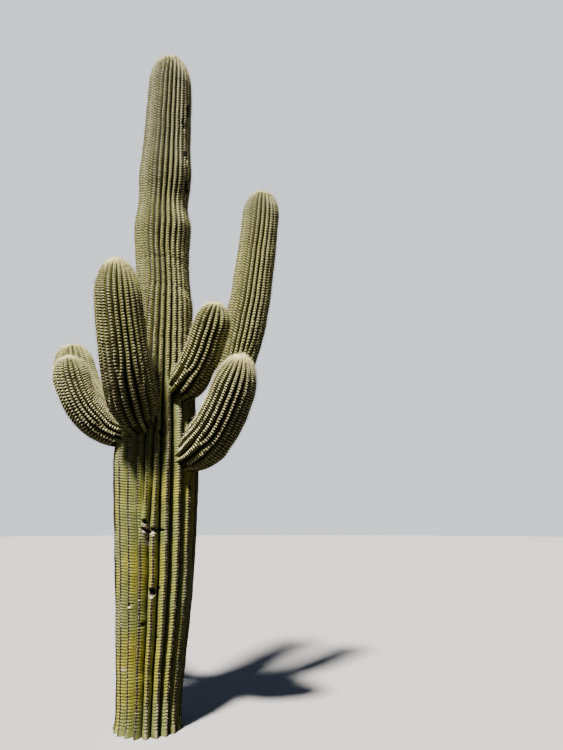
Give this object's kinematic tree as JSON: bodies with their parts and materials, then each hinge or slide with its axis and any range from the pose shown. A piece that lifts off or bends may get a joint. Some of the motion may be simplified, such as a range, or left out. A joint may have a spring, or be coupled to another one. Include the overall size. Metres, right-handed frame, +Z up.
{
  "type": "saguaro cactus",
  "caption": "Tall columnar cactus with pleated ribs, narrow at the foot and stoutest at its waist, where thick arms leave it and turn up; stands on a flat cut at ground level.",
  "frame": {"origin": "middle of the flat cut at ground level, under the column", "axes": "+Z up along the column, +X to the right of the picture, -Y towards the viewer"},
  "size_m": [2.1001, 1.3713, 6.04],
  "materials": {
    "column_skin": "waxy matt yellow-green skin with grey-brown spine clusters along each rib",
    "arm_skin": "waxy matt olive-green skin with straw-coloured spine clusters along each rib"
  },
  "bodies": {
    "root": {"column": "column_skin", "front_arm_elbow": "arm_skin", "front_arm_upright": "arm_skin", "left_front_arm_elbow": "arm_skin", "left_front_arm_upright": "arm_skin", "left_back_arm_elbow": "arm_skin", "left_back_arm_upright": "arm_skin", "right_front_small_arm_elbow": "arm_skin", "right_front_small_arm_upright": "arm_skin", "right_front_arm_elbow": "arm_skin", "right_front_arm_upright": "arm_skin", "right_back_arm_elbow": "arm_skin", "right_back_arm_upright": "arm_skin"}
  },
  "joints": []
}
